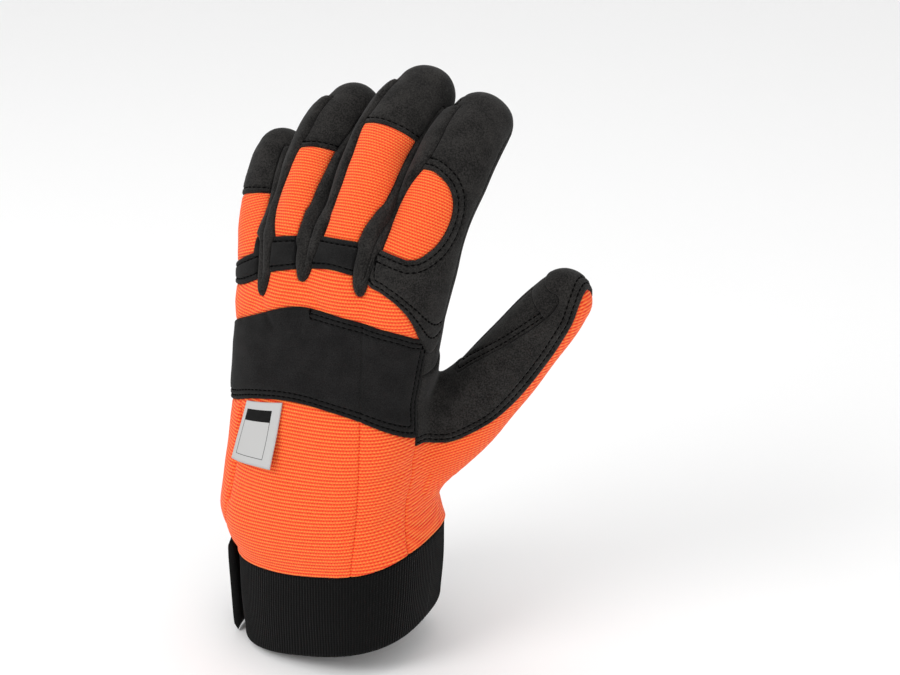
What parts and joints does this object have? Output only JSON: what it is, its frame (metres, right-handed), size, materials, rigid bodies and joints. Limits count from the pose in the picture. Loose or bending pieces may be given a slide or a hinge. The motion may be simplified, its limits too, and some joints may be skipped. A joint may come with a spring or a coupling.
{
  "type": "chainsaw glove",
  "caption": "Left work glove worn on an open hand: padded ribbed back, black reinforced fingers and thumb patch, knuckle strip, wide back band, knit cuff and wrist pull strap.",
  "frame": {"origin": "middle of the wrist opening, at the cuff's lower edge", "axes": "+Z from the wrist to the fingertips, -Y away from the back of the hand, +X to the thumb side"},
  "size_m": [0.1454, 0.0835, 0.2311],
  "materials": {
    "suede_black": "matte suede",
    "cloth_orange": "ribbed stretch weave",
    "cloth_black": "smooth matte",
    "knit_black": "ribbed knit",
    "label_grey": "woven satin"
  },
  "bodies": {
    "root": {"palm": "suede_black", "index_side_panel": "suede_black", "middle_tip": "suede_black", "ring_tip": "suede_black", "pinky_tip": "suede_black", "fourchette_ring_pinky": "suede_black", "fourchette_middle_ring": "suede_black", "fourchette_index_middle": "suede_black", "thumb_patch": "suede_black", "thumb_inner": "suede_black", "index_patch": "cloth_orange", "middle_back": "cloth_orange", "ring_back": "cloth_orange", "pinky_back": "cloth_orange", "hand_back_upper": "cloth_orange", "hand_back_lower": "cloth_orange", "hand_back_inner": "cloth_orange", "side_gusset": "cloth_orange", "thumb_gusset": "cloth_orange", "hand_band": "cloth_black", "knuckle_strip": "cloth_black", "cuff": "knit_black", "wrist_strap": "knit_black", "label_tag": "label_grey"}
  },
  "joints": []
}
